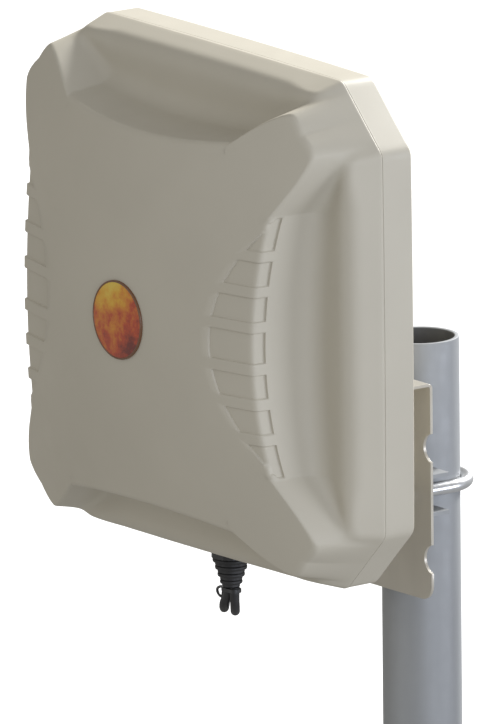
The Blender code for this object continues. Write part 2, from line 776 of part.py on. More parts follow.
def make_cable_tie():
    strap_low = TIE_TOP - TIE_WIDTH
    outer = CABLE_RADIUS + GAP + 1.2 * MM
    mesh = prism_mesh("cable_tie", stadium(outer), strap_low, TIE_TOP, "Z")
    strap = add_part("cable_tie", mesh, "black_nylon")
    hole = prism_mesh("hole", stadium(CABLE_RADIUS + GAP), strap_low - 1 * MM, TIE_TOP + 1 * MM, "Z")
    boolean(strap, add_cutter("tie_hole", hole))
    start_x = GLAND_X - CABLE_PITCH / 2 - outer - GAP
    route = smooth_route([(start_x + x * MM, y * MM, z * MM) for x, y, z in TAIL_ROUTE], 3)
    tube_object("tie_tail", route, 0.9 * MM, "black_nylon", 1)


def make_vent():
    mesh = rod_mesh("vent_plug", [(4 * MM, 5 * MM), (7 * MM, 2 * MM)], "Y", 16)
    add_part("vent_plug", mesh, "black_nylon", (95 * MM, BACK_DEPTH + GAP - 5 * MM, -135 * MM))


# --- Bracket and mast clamp --------------------------------------------------------------------


def make_bracket():
    front = BACK_DEPTH + GAP
    rear = REAR_Y + SHEET
    bend = BEND_RADIUS
    inner = bend - SHEET
    outline = [(front, FRONT_BOTTOM)]
    outline += arc((front + bend, BRACKET_TOP - bend), bend, 180, 90)
    outline += arc((rear - bend, BRACKET_TOP - bend), bend, 90, 0)
    outline += [(rear, REAR_BOTTOM), (REAR_Y, REAR_BOTTOM)]
    outline += arc((rear - bend, BRACKET_TOP - bend), inner, 0, 90)
    outline += arc((front + bend, BRACKET_TOP - bend), inner, 90, 180)
    outline += [(front + SHEET, FRONT_BOTTOM)]
    mesh = prism_mesh("bracket", outline, -REAR_HALF, REAR_HALF, "X")
    bracket = add_part("bracket", mesh, "stainless_sheet")
    for sign, side in ((-1, "left"), (1, "right")):
        wedge = [(sign * FRONT_HALF, 0), (sign * FRONT_HALF, 32 * MM), (sign * REAR_HALF, 100 * MM)]
        wedge += [(sign * 80 * MM, 100 * MM), (sign * 80 * MM, 0)]
        tool = prism_mesh("taper", wedge, FRONT_BOTTOM - 5 * MM, BRACKET_TOP + 5 * MM, "Z")
        boolean(bracket, add_cutter(f"taper_{side}", tool))
        for level in (-1, 1):
            place = (sign * (REAR_HALF + 2 * MM), REAR_Y - 5 * MM, CLAMP_Z + level * SCALLOP_OFFSET)
            tool = rod_mesh("scallop", [(SCALLOP_RADIUS, 15 * MM)], "Y", 24)
            boolean(bracket, add_cutter(f"scallop_{side}_{level + 1}", tool, place))
        corner = (sign * (REAR_HALF - 10 * MM), REAR_BOTTOM + 10 * MM)
        start, end = (270, 360) if sign > 0 else (180, 270)
        outline = arc(corner, 10 * MM, start, end, 6)
        outline.append((sign * (REAR_HALF + 5 * MM), REAR_BOTTOM - 5 * MM))
        if sign > 0:
            beside, below = (REAR_HALF + 5 * MM, corner[1]), (corner[0], REAR_BOTTOM - 5 * MM)
            outline[-1:] = [beside, outline[-1], below]
        else:
            beside, below = (-REAR_HALF - 5 * MM, corner[1]), (corner[0], REAR_BOTTOM - 5 * MM)
            outline[-1:] = [below, outline[-1], beside]
        tool = prism_mesh("corner", outline, REAR_Y - 5 * MM, rear + 5 * MM, "Y")
        boolean(bracket, add_cutter(f"corner_{side}", tool))
        leg = rod_mesh("leg_hole", [(ROD_RADIUS + 0.5 * MM, 15 * MM)], "Y", 16)
        place = (sign * LEG_X, REAR_Y - 5 * MM, CLAMP_Z)
        boolean(bracket, add_cutter(f"leg_hole_{side}", leg, place))
    for number, (x, z) in enumerate(four_places(BOLT_X, BOLT_Z), 1):
        hole = rod_mesh("bolt_hole", [(3.4 * MM, 12 * MM)], "Y", 16)
        boolean(bracket, add_cutter(f"bolt_hole_{number}", hole, (x, front - 4 * MM, z)))


def make_bracket_bolts():
    for number, (x, z) in enumerate(four_places(BOLT_X, BOLT_Z), 1):
        shank = 14 * MM
        bolt = rod_mesh("bolt", [(3 * MM, shank), (7 * MM, 1.5 * MM), (5.2 * MM, 4 * MM)], "Y", 12)
        seat = BACK_DEPTH + 2 * GAP + SHEET
        add_part(f"bracket_bolt_{number}", bolt, "bright_steel", (x, seat - shank, z))
        insert = ring_mesh("insert", 3.3 * MM, 4.3 * MM, 0, 10 * MM, "Y", 12)
        add_part(f"threaded_insert_{number}", insert, "brass", (x, BACK_DEPTH - 10.3 * MM, z))


def make_saddle():
    back = REAR_Y + SHEET + GAP
    low, high = CLAMP_Z - SADDLE_TALL, CLAMP_Z + SADDLE_TALL
    thick = 2.5 * MM
    outline = [(back, low), (SADDLE_REACH, low), (SADDLE_REACH, low + thick), (back + thick, low + thick)]
    outline += [(back + thick, high - thick), (SADDLE_REACH, high - thick)]
    outline += [(SADDLE_REACH, high), (back, high)]
    mesh = prism_mesh("saddle", outline, -SADDLE_HALF, SADDLE_HALF)
    saddle = add_part("saddle_clamp", mesh, "galvanised_steel")
    seat = rod_mesh("seat", [(MAST_RADIUS + GAP, 60 * MM)], "Z", 48)
    boolean(saddle, add_cutter("mast_seat", seat, (0, STANDOFF, CLAMP_Z - 30 * MM)))
    for sign, side in ((-1, "left"), (1, "right")):
        hole = rod_mesh("hole", [(ROD_RADIUS + 0.5 * MM, 12 * MM)], "Y", 16)
        place = (sign * LEG_X, back - 4 * MM, CLAMP_Z)
        boolean(saddle, add_cutter(f"saddle_hole_{side}", hole, place))


def make_u_bolt():
    points = [(LEG_X, LEG_FRONT, CLAMP_Z)]
    points += [(x, y, CLAMP_Z) for x, y in arc((0, STANDOFF), LEG_X, 0, 180, 16)]
    points.append((-LEG_X, LEG_FRONT, CLAMP_Z))
    tube_object("u_bolt", points, ROD_RADIUS, "bright_steel", 3)


def make_clamp_nuts():
    for sign, side in ((-1, "left"), (1, "right")):
        face = REAR_Y - GAP
        washer = ring_mesh("washer", ROD_RADIUS + 0.4 * MM, 8 * MM, -1.6 * MM, 0, "Y", 24)
        add_part(f"clamp_washer_{side}", washer, "bright_steel", (sign * LEG_X, face, CLAMP_Z))
        nut = ring_mesh("nut", ROD_RADIUS + 0.3 * MM, 7.5 * MM, -6.5 * MM, 0, "Y", 18, 6)
        add_part(f"clamp_nut_{side}", nut, "bright_steel", (sign * LEG_X, face - 1.9 * MM, CLAMP_Z))


def make_mast():
    mesh = ring_mesh("mast", MAST_RADIUS - MAST_WALL, MAST_RADIUS, 0, MAST_LENGTH, "Z", 48)
    add_part("mast", mesh, "galvanised_steel", parent=None)


make_radome()
make_back_cover()
make_gasket()
make_badge()
make_cover_screws()
make_radiator()
make_inner_coax()
make_gland()
make_tails()
make_clip()
make_cable_tie()
make_vent()
make_bracket()
make_bracket_bolts()
make_saddle()
make_u_bolt()
make_clamp_nuts()
make_mast()
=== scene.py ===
"""Looks of the outdoor panel antenna: moulded radome, badge, cables, sheet bracket and mast clamp."""

import json
import math

import bmesh
import bpy
from mathutils import Matrix, Vector

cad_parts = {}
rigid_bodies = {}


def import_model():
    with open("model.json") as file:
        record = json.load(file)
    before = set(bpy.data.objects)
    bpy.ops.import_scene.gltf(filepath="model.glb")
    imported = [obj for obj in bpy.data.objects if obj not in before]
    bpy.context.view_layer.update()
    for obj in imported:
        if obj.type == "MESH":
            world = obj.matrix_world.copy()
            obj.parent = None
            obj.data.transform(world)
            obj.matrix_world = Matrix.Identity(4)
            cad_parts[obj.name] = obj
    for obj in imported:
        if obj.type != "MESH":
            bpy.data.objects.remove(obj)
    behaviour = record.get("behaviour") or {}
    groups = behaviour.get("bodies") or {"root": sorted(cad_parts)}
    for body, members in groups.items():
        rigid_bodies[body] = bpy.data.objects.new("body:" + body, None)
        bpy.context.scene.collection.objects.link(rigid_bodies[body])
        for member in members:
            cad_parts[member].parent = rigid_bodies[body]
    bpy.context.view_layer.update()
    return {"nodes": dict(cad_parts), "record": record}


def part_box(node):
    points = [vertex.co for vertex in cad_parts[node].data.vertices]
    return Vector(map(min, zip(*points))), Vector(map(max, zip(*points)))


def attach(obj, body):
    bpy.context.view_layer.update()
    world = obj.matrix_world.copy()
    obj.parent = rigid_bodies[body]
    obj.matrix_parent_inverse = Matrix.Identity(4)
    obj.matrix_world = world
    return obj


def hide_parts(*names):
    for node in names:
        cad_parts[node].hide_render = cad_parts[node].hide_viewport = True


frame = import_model()
NODES = frame["nodes"]
MM = 0.001

# --- Places, from the frame -----------------------------------------------------------------

COVER_HIGH = Vector(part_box("back_cover")[1])
RADOME_LOW, RADOME_HIGH = (Vector(corner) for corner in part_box("radome_cover"))
MAST_LOW, MAST_HIGH = (Vector(corner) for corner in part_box("mast"))
SEAM_Y = RADOME_HIGH.y
HEAD = Vector((0, SEAM_Y, (RADOME_LOW.z + RADOME_HIGH.z) / 2))

# --- The casing's own dimensions, the same as the CAD's ---------------------------------------

SIDE_HALF = RADOME_HIGH.x
SIDE_BOW = 0.9 * MM
CORNER_START = 124 * MM
CORNER_RADIUS = 7 * MM
BACK_DEPTH = COVER_HIGH.y - SEAM_Y
DOME_HEIGHT = 86.5 * MM
DOME_CURVE = 1.1
SCOOP_EDGE = 120 * MM
SCOOP_BOW = 0.9
SCOOP_STRAIGHT = 85 * MM
SCOOP_TIP = (149.5 * MM, 124.5 * MM)
DOME_CORNER = 138 * MM
SHELF_DEPTH = 24 * MM
SHELF_FOOT = 4.5 * MM
SHELF_LIP = 7 * MM
SHELF_END = 97 * MM
FILLET = 13 * MM
EDGE_ROUND = 3.2 * MM
POCKET_DEPTH = 1.5 * MM
POCKET_DRAFT = 0.7 * MM
POCKET_REACH = 10 * MM
POCKET_HALF = 9.9 * MM
POCKET_HEIGHT = 15.5 * MM
POCKET_END_HEIGHT = 20.9 * MM
POCKET_RIB = 7.4 * MM
POCKET_INNER = 84 * MM
POCKET_BOW = 6.8

# How finely the casing's surface is divided
POCKET_LINES = 160
PLAIN_LINES = 40
CORNER_LINES = 46
DOME_RINGS = 12
POCKET_RINGS = 14
EDGE_RINGS = 6
POCKET_WALL_RINGS = 8
WALL_RINGS = 36
MIDDLE_HOLE = 15 * MM

COVER_WALL = 3.4 * MM
COVER_ROUND = 2.4 * MM
BADGE_RADIUS = 25.4 * MM
BADGE_LIFT = 1.6 * MM
COVER_SCREW_SIDE = 143 * MM
COVER_SCREW_ALONG = 62 * MM

# Cable exit, tails, bracket and clamp
GLAND = Vector((-13 * MM, 11 * MM, 0))
CABLE_RADIUS = 3 * MM
CABLE_PITCH = 6.4 * MM
BOOT_END = -189 * MM
BOOT_RADIUS = 7.2 * MM
BOOT_TAPER = 4.6 * MM
TAIL_ROUTE = [
    (0, 11, -191.2), (-3, 12, -191.6), (-7.5, 13.8, -192.6), (-12, 15.2, -194.6), (-13.2, 16, -197.2),
    (-10.8, 16.2, -199.4), (-6.8, 16, -199.4), (-4, 15.6, -198),
]
CONNECTOR_Z = -112 * MM
CONNECTOR_Y = 33 * MM
CONNECTOR_X = (-62 * MM, -76 * MM)
GAP = 0.3 * MM
CLAMP_Z = -138 * MM
ROD_RADIUS = 4 * MM
MAST_WALL = 3 * MM
THREAD_PITCH = 1.25 * MM
LEG_X = MAST_HIGH.x + GAP + ROD_RADIUS
LEG_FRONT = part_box("u_bolt")[0][1] - SEAM_Y
STANDOFF = -SEAM_Y
PLATE_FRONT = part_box("clamp_washer_left")[1][1] - SEAM_Y


def smooth(share):
    share = max(0.0, min(1.0, share))
    return share * share * (3 - 2 * share)


# --- Camera ---------------------------------------------------------------------------------


def make_camera():
    turn, rise, roll = math.radians(53.194), math.radians(13.233), math.radians(0.486)
    right = Vector((math.cos(turn), math.sin(turn), 0))
    up = Vector((-math.sin(turn) * math.sin(rise), math.cos(turn) * math.sin(rise), math.cos(rise)))
    right, up = (
        math.cos(roll) * right - math.sin(roll) * up,
        math.sin(roll) * right + math.cos(roll) * up,
    )
    back = right.cross(up)
    data = bpy.data.cameras.new("camera")
    data.type = "ORTHO"
    data.ortho_scale = 0.4561
    data.clip_end = 30
    camera = bpy.data.objects.new("camera", data)
    aim = HEAD + 14.33 * MM * right - 39.0 * MM * up
    turned_to = Matrix((right, up, back)).transposed().to_4x4()
    camera.matrix_world = Matrix.Translation(aim + 1.5 * back) @ turned_to
    bpy.context.scene.collection.objects.link(camera)
    bpy.context.scene.camera = camera


# --- Materials ------------------------------------------------------------------------------


class Paint:
    """A Principled material with its node tree at hand."""

    def __init__(self, name, color, roughness, metallic=0.0, **sockets):
        self.material = bpy.data.materials.new(name)
        self.material.use_nodes = True
        self.tree = self.material.node_tree
        self.shader = self.tree.nodes["Principled BSDF"]
        self.shader.inputs["Base Color"].default_value = (*color, 1)
        self.shader.inputs["Roughness"].default_value = roughness
        self.shader.inputs["Metallic"].default_value = metallic
        for socket, value in sockets.items():
            self.shader.inputs[socket.replace("_", " ")].default_value = value
        self.place = self.tree.nodes.new("ShaderNodeTexCoord").outputs["Object"]

    def link(self, source, target):
        self.tree.links.new(source, target)

    def noise(self, scale, detail=3.0, stretch=(1, 1, 1), rough=0.5):
        mapping = self.tree.nodes.new("ShaderNodeMapping")
        mapping.inputs["Scale"].default_value = stretch
        self.link(self.place, mapping.inputs["Vector"])
        node = self.tree.nodes.new("ShaderNodeTexNoise")
        node.inputs["Scale"].default_value = scale
        node.inputs["Detail"].default_value = detail
        node.inputs["Roughness"].default_value = rough
        self.link(mapping.outputs["Vector"], node.inputs["Vector"])
        return node.outputs["Fac"]

    def voronoi(self, scale):
        node = self.tree.nodes.new("ShaderNodeTexVoronoi")
        node.inputs["Scale"].default_value = scale
        self.link(self.place, node.inputs["Vector"])
        return node.outputs["Distance"]

    def height(self):
        node = self.tree.nodes.new("ShaderNodeSeparateXYZ")
        self.link(self.place, node.inputs["Vector"])
        return node.outputs["Z"]

    def add(self, first, second):
        node = self.tree.nodes.new("ShaderNodeMath")
        node.operation = "ADD"
        self.link(first, node.inputs[0])
        self.link(second, node.inputs[1])
        return node.outputs["Value"]

    def spread(self, value, low, high, start=0.3, end=0.7):
        node = self.tree.nodes.new("ShaderNodeMapRange")
        node.inputs["From Min"].default_value = start
        node.inputs["From Max"].default_value = end
        node.inputs["To Min"].default_value = low
        node.inputs["To Max"].default_value = high
        self.link(value, node.inputs["Value"])
        return node.outputs["Result"]

    def ramp(self, value, stops):
        node = self.tree.nodes.new("ShaderNodeValToRGB")
        elements = node.color_ramp.elements
        while len(elements) < len(stops):
            elements.new(0.5)
        for element, (position, color) in zip(elements, stops):
            element.position = position
            element.color = (*color, 1)
        self.link(value, node.inputs["Fac"])
        return node.outputs["Color"]

    def color(self, output):
        self.link(output, self.shader.inputs["Base Color"])

    def roughness(self, output):
        self.link(output, self.shader.inputs["Roughness"])

    def bump(self, height, strength, distance):
        node = self.tree.nodes.new("ShaderNodeBump")
        node.inputs["Strength"].default_value = strength
        node.inputs["Distance"].default_value = distance
        previous = self.shader.inputs["Normal"].links
        if previous:
            self.link(previous[0].from_socket, node.inputs["Normal"])
        self.link(height, node.inputs["Height"])
        self.link(node.outputs["Normal"], self.shader.inputs["Normal"])


def shades(color, spread):
    """A darker and a lighter neighbour of a colour."""
    return tuple(c * (1 - spread) for c in color), tuple(c * (1 + spread) for c in color)


def radome_plastic():
    color = (0.54, 0.505, 0.42)
    paint = Paint("radome_plastic", color, 0.48, Specular_IOR_Level=0.2)
    dark, light = shades(color, 0.03)
    paint.color(paint.ramp(paint.noise(9, 4), [(0.3, dark), (0.7, light)]))
    paint.roughness(paint.spread(paint.noise(60, 3), 0.42, 0.55))
    paint.bump(paint.noise(1400, 2), 0.12, 0.0002)
    paint.bump(paint.noise(22, 2), 0.03, 0.001)
    return paint.material


def badge_print():
    paint = Paint("badge_print", (0.5, 0.2, 0.03), 0.28, Coat_Weight=0.5, Coat_Roughness=0.12)
    stops = [
        (0.34, (0.16, 0.02, 0.01)),
        (0.43, (0.46, 0.06, 0.012)),
        (0.51, (0.60, 0.20, 0.012)),
        (0.58, (0.68, 0.36, 0.02)),
        (0.68, (0.72, 0.50, 0.06)),
    ]
    height = paint.spread(paint.height(), -0.09, 0.05, HEAD.z - 25 * MM, HEAD.z + 12 * MM)
    paint.color(paint.ramp(paint.add(paint.noise(26, 6, rough=0.66), height), stops))
    paint.bump(paint.noise(500, 2), 0.05, 0.0002)
    return paint.material


def badge_rim():
    paint = Paint("badge_rim", (0.16, 0.07, 0.03), 0.35, Coat_Weight=0.3)
    paint.roughness(paint.spread(paint.noise(200), 0.3, 0.45))
    return paint.material


def black_rubber():
    paint = Paint("black_rubber", (0.017, 0.017, 0.018), 0.5)
    stops = [(0.3, (0.012, 0.012, 0.013)), (0.7, (0.024, 0.024, 0.025))]
    paint.color(paint.ramp(paint.noise(90, 4), stops))
    paint.roughness(paint.spread(paint.noise(300, 3), 0.42, 0.62))
    paint.bump(paint.noise(900, 3), 0.15, 0.0002)
    return paint.material


def black_nylon():
    paint = Paint("black_nylon", (0.025, 0.025, 0.026), 0.4)
    stops = [(0.3, (0.019, 0.019, 0.02)), (0.7, (0.032, 0.032, 0.033))]
    paint.color(paint.ramp(paint.noise(70, 3), stops))
    paint.roughness(paint.spread(paint.noise(250, 3), 0.33, 0.5))
    paint.bump(paint.noise(1200, 2), 0.1, 0.0002)
    return paint.material


def galvanised_steel():
    color = (0.30, 0.31, 0.318)
    paint = Paint("galvanised_steel", color, 0.4, 0.2)
    dark, light = shades(color, 0.10)
    paint.color(paint.ramp(paint.noise(30, 4, (1, 1, 0.12)), [(0.3, dark), (0.7, light)]))
    paint.roughness(paint.spread(paint.voronoi(160), 0.48, 0.58, 0.0, 0.8))
    paint.bump(paint.noise(500, 2, (1, 1, 0.05)), 0.08, 0.0003)
    return paint.material


def painted_shade_steel():
    # Painted shade: a near-black steel colour that stands in for the shade inside the mast tube, where
    # little light reaches
    color = (0.10, 0.10, 0.10)
    paint = Paint("painted_shade_steel", color, 0.6, 0.2)
    dark, light = shades(color, 0.15)
    paint.color(paint.ramp(paint.noise(40, 4), [(0.3, dark), (0.7, light)]))
    return paint.material


def stainless_sheet():
    color = (0.50, 0.47, 0.405)
    paint = Paint("stainless_sheet", color, 0.36, 0.3)
    dark, light = shades(color, 0.08)
    paint.color(paint.ramp(paint.noise(25, 4, (1, 1, 0.3)), [(0.3, dark), (0.7, light)]))
    paint.roughness(paint.spread(paint.noise(60, 4, (0.1, 1, 1)), 0.27, 0.42))
    paint.bump(paint.noise(900, 2, (0.04, 1, 1)), 0.06, 0.0002)
    return paint.material


def bright_steel():
    color = (0.62, 0.63, 0.64)
    paint = Paint("bright_steel", color, 0.32, 0.75)
    dark, light = shades(color, 0.06)
    paint.color(paint.ramp(paint.noise(120, 3), [(0.3, dark), (0.7, light)]))
    paint.roughness(paint.spread(paint.noise(260, 3), 0.28, 0.38))
    paint.bump(paint.noise(900, 2), 0.05, 0.0002)
    return paint.material


def aluminium():
    color = (0.7, 0.71, 0.72)
    paint = Paint("aluminium", color, 0.35, 1.0)
    dark, light = shades(color, 0.05)
    paint.color(paint.ramp(paint.noise(60, 3), [(0.3, dark), (0.7, light)]))
    paint.roughness(paint.spread(paint.noise(40, 4, (0.05, 1, 1)), 0.28, 0.45))
    return paint.material


def circuit_board():
    paint = Paint("circuit_board", (0.03, 0.16, 0.07), 0.35, Coat_Weight=0.3)
    stops = [(0.35, (0.02, 0.12, 0.05)), (0.65, (0.05, 0.2, 0.09))]
    paint.color(paint.ramp(paint.noise(60, 3), stops))
    paint.roughness(paint.spread(paint.noise(200), 0.3, 0.42))
    return paint.material


def brass():
    color = (0.62, 0.42, 0.16)
    paint = Paint("brass", color, 0.28, 1.0)
    dark, light = shades(color, 0.08)
    paint.color(paint.ramp(paint.noise(90, 3), [(0.3, dark), (0.7, light)]))
    paint.roughness(paint.spread(paint.noise(260, 3, (1, 1, 0.2)), 0.2, 0.36))
    paint.bump(paint.noise(900, 2, (0.1, 0.1, 1)), 0.05, 0.0002)
    return paint.material


def white_nylon():
    paint = Paint("white_nylon", (0.7, 0.7, 0.67), 0.5)
    stops = [(0.3, (0.66, 0.66, 0.63)), (0.7, (0.74, 0.74, 0.71))]
    paint.color(paint.ramp(paint.noise(80), stops))
    paint.roughness(paint.spread(paint.noise(300), 0.42, 0.58))
    return paint.material


MATERIALS = {
    maker.__name__: maker()
    for maker in (
        radome_plastic, badge_print, badge_rim, black_rubber, black_nylon, galvanised_steel,
        painted_shade_steel, stainless_sheet, bright_steel, aluminium, circuit_board, brass, white_nylon,
    )
}


# --- Mesh helpers ---------------------------------------------------------------------------


def add_piece(name, mesh, slot, node=None, body="antenna", sharp=35, paint=None):
    """Links a piece, gives it its material, and puts it in place of a CAD node."""
    piece = bpy.data.objects.new(name, mesh)
    mesh.materials.clear()
    mesh.materials.append(MATERIALS[paint or slot])
    bpy.context.scene.collection.objects.link(piece)
    if hasattr(mesh, "shade_smooth"):
        mesh.shade_smooth()
        mesh.set_sharp_from_angle(angle=math.radians(sharp))
    if node:
        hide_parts(node)
    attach(piece, body)
    return piece


def mesh_from(name, bm):
    bmesh.ops.recalc_face_normals(bm, faces=bm.faces)
    mesh = bpy.data.meshes.new(name)
    bm.to_mesh(mesh)
    bm.free()
    return mesh


def loft(name, rings, cap_ends=False):
    """Faces between rings of equal count, capped at both ends when asked."""
    bm = bmesh.new()
    made = [[bm.verts.new(HEAD + point) for point in ring] for ring in rings]
    for first, second in zip(made, made[1:]):
        for i, vert in enumerate(first):
            j = (i + 1) % len(first)
            bm.faces.new((vert, first[j], second[j], second[i]))
    if cap_ends:
        for ring in (made[0], made[-1]):
            middle = bm.verts.new(sum((v.co for v in ring), Vector()) / len(ring))
            for i, vert in enumerate(ring):
                bm.faces.new((vert, ring[(i + 1) % len(ring)], middle))
    return mesh_from(name, bm)


AXES = {"Y": Matrix.Rotation(-math.pi / 2, 4, "X"), "Z": Matrix.Identity(4)}


def turned(name, profile, place, axis="Z", sides=48):
    """A profile of (radius, level) points turned about an axis through place."""
    bm = bmesh.new()
    verts = [bm.verts.new((radius, 0, level)) for radius, level in profile]
    edges = [bm.edges.new(pair) for pair in zip(verts, verts[1:])]
    bmesh.ops.spin(
        bm, geom=verts + edges, cent=(0, 0, 0), axis=(0, 0, 1), angle=2 * math.pi, steps=sides
    )
    bmesh.ops.remove_doubles(bm, verts=bm.verts, dist=0.001 * MM)
    bm.transform(Matrix.Translation(place) @ AXES[axis])
    return mesh_from(name, bm)


def prism(name, sides, radius, low, high, place, axis="Y"):
    """A many-sided bar along an axis through place, from low to high."""
    bm = bmesh.new()
    bmesh.ops.create_cone(
        bm, segments=sides, radius1=radius, radius2=radius, depth=high - low, cap_ends=True
    )
    bmesh.ops.translate(bm, vec=(0, 0, (low + high) / 2), verts=bm.verts)
    bm.transform(Matrix.Translation(place) @ AXES[axis])
    return mesh_from(name, bm)


def applied(base, tools):
    """base after Booleans with (mesh, operation) tools, as a new mesh."""
    scene = bpy.context.scene.collection.objects
    target = bpy.data.objects.new("target", base)
    scene.link(target)
    helpers = []
    for mesh, operation in tools:
        helper = bpy.data.objects.new("helper", mesh)
        scene.link(helper)
        helpers.append(helper)
        modifier = target.modifiers.new("cut", "BOOLEAN")
        modifier.operation = operation
        modifier.solver = "EXACT"
        modifier.object = helper
    bpy.context.view_layer.update()
    graph = bpy.context.evaluated_depsgraph_get()
    made = bpy.data.meshes.new_from_object(target.evaluated_get(graph))
    for helper in (*helpers, target):
        bpy.data.objects.remove(helper, do_unlink=True)
    return made


def softened(node, slot, width, segments=2, body="antenna"):
    """A CAD node's own shape with its sharp edges slightly rounded."""
    mesh = NODES[node].data.copy()
    bm = bmesh.new()
    bm.from_mesh(mesh)
    bmesh.ops.remove_doubles(bm, verts=bm.verts, dist=0.002 * MM)
    bmesh.ops.dissolve_limit(bm, angle_limit=math.radians(1), verts=bm.verts, edges=bm.edges)
    bm.to_mesh(mesh)
    bm.free()
    piece = add_piece(f"soft_{node}", mesh, slot, node, body, 50)
    bevel = piece.modifiers.new("edge", "BEVEL")
    bevel.width = width
    bevel.segments = segments
    bevel.limit_method = "ANGLE"
    bevel.angle_limit = math.radians(50)
    bevel.harden_normals = True
    return piece


# --- Radome and back cover --------------------------------------------------------------------


def bezier(points, count):
    """Points on a Bezier curve, without its first point."""
    made = []
    for step in range(1, count + 1):
        line = [Vector(p) for p in points]
        while len(line) > 1:
            line = [a.lerp(b, step / count) for a, b in zip(line, line[1:])]
        made.append(line[0])
    return made


def evenly(path, count):
    """count points at even distances along a path, without its first point."""
    lengths = [0.0]
    for a, b in zip(path, path[1:]):
        lengths.append(lengths[-1] + (b - a).length)
    made = []
    k = 1
    for step in range(1, count + 1):
        want = lengths[-1] * step / count
        while k < len(path) - 1 and lengths[k] < want:
            k += 1
        share = (want - lengths[k - 1]) / max(lengths[k] - lengths[k - 1], 1e-12)
        made.append(path[k - 1].lerp(path[k], min(1.0, share)))
    return made


def side_x(along):
    return SIDE_HALF - SIDE_BOW * (along / CORNER_START) ** 2


def edge_x(along):
    return SCOOP_EDGE + SCOOP_BOW * along**2


def seam_corner(count):
    """The seam from the end of a scoop's straight part to the corner's middle."""
    start = CORNER_START - CORNER_RADIUS / 2
    steps = [SCOOP_STRAIGHT + (start - SCOOP_STRAIGHT) * i / 6 for i in range(7)]
    path = [Vector((side_x(along), along)) for along in steps]
    bend = Vector((side_x(CORNER_START), CORNER_START))
    chamfer = Vector((-1, 1)).normalized()
    path += bezier([path[-1], bend, bend + chamfer * CORNER_RADIUS / 2], 16)
    middle = (bend.x + bend.y) / 2
    path.append(Vector((middle, middle)))
    return evenly(path, count)


def dome_corner(count):
    """The dome's edge from the end of a scoop's straight part to the corner's middle."""
    start = Vector((edge_x(SCOOP_STRAIGHT), SCOOP_STRAIGHT))
    tip = Vector(SCOOP_TIP)
    middle = Vector((DOME_CORNER, DOME_CORNER))
    out = start + Vector((3.5, 6)) * MM
    back = tip - Vector((4.5, 16)) * MM
    path = [start, *bezier([start, out, back, tip], 40)]
    path += bezier([tip, tip + Vector((0, 6)) * MM, middle], 24)
    return evenly(path, count)


def dome_depth(p):
    return -DOME_HEIGHT + DOME_CURVE * p.length_squared


def pockets():
    """(low, high) heights of the grip pockets."""
    spans = [(-POCKET_HALF, POCKET_HALF)]
    low = POCKET_HALF + POCKET_RIB
    for height in (POCKET_HEIGHT, POCKET_HEIGHT, POCKET_END_HEIGHT):
        spans += [(low, low + height), (-low - height, -low)]
        low += height + POCKET_RIB
    return spans


def pocket_share(height):
    """1 on a pocket's floor, 0 on a rib, turning over the width of a pocket's slanted wall."""
    most = 0.0
    for low, high in pockets():
        inside = min(height - low, high - height)
        most = max(most, smooth(inside / POCKET_DRAFT + 0.5))
    return most


def lines():
    """(edge, seam, turn, pocket share) of each mesh line round the casing."""
    found = []
    for quarter in range(4):
        turn = Matrix.Rotation(quarter * math.pi / 2, 2)
        steps = PLAIN_LINES if quarter % 2 else POCKET_LINES
        straight = [SCOOP_STRAIGHT * i / steps for i in range(steps + 1)]
        half = [(Vector((edge_x(a), a)), Vector((side_x(a), a))) for a in straight]
        half += list(zip(dome_corner(CORNER_LINES), seam_corner(CORNER_LINES)))
        mirrored = [tuple(Vector((p.x, -p.y)) for p in pair) for pair in reversed(half[1:])]
        for edge, seam in [*mirrored[1:], *half]:
            share = pocket_share(edge.y) if quarter % 2 == 0 else 0.0
            found.append((turn @ edge, turn @ seam, turn, share))
    return found


def scoop_share(edge):
    """1 beside a scoop and 0 round a corner, where the wall drops straight to the seam."""
    along = min(abs(edge.x), abs(edge.y))
    share = (SCOOP_TIP[1] - along) / (SCOOP_TIP[1] - SHELF_END)
    share = max(0.0, min(1.0, share))
    return share * (2 - share)


def wall_path(edge, seam):
    """The side wall's fine profile as (distance outwards, depth), from the dome's edge to the seam."""
    run = (seam - edge).length
    share = scoop_share(edge)
    top = dome_depth(edge)
    foot = Vector((SHELF_FOOT, -SHELF_DEPTH)) * share + Vector((run / 3, top * 2 / 3)) * (1 - share)
    lip = Vector((run - SHELF_LIP, -SHELF_DEPTH)) * share
    lip += Vector((run * 2 / 3, top / 3)) * (1 - share)
    corners = [Vector((0, top)), foot, lip, Vector((run, 0))]
    path = [corners[0]]
    for before, corner, after in zip(corners, corners[1:], corners[2:]):
        cut = min(FILLET, 0.42 * (corner - before).length, 0.42 * (after - corner).length)
        a = corner + (before - corner).normalized() * cut
        b = corner + (after - corner).normalized() * cut
        path += [a, *bezier([a, corner, b], 10)]
    return [*path, corners[-1]]


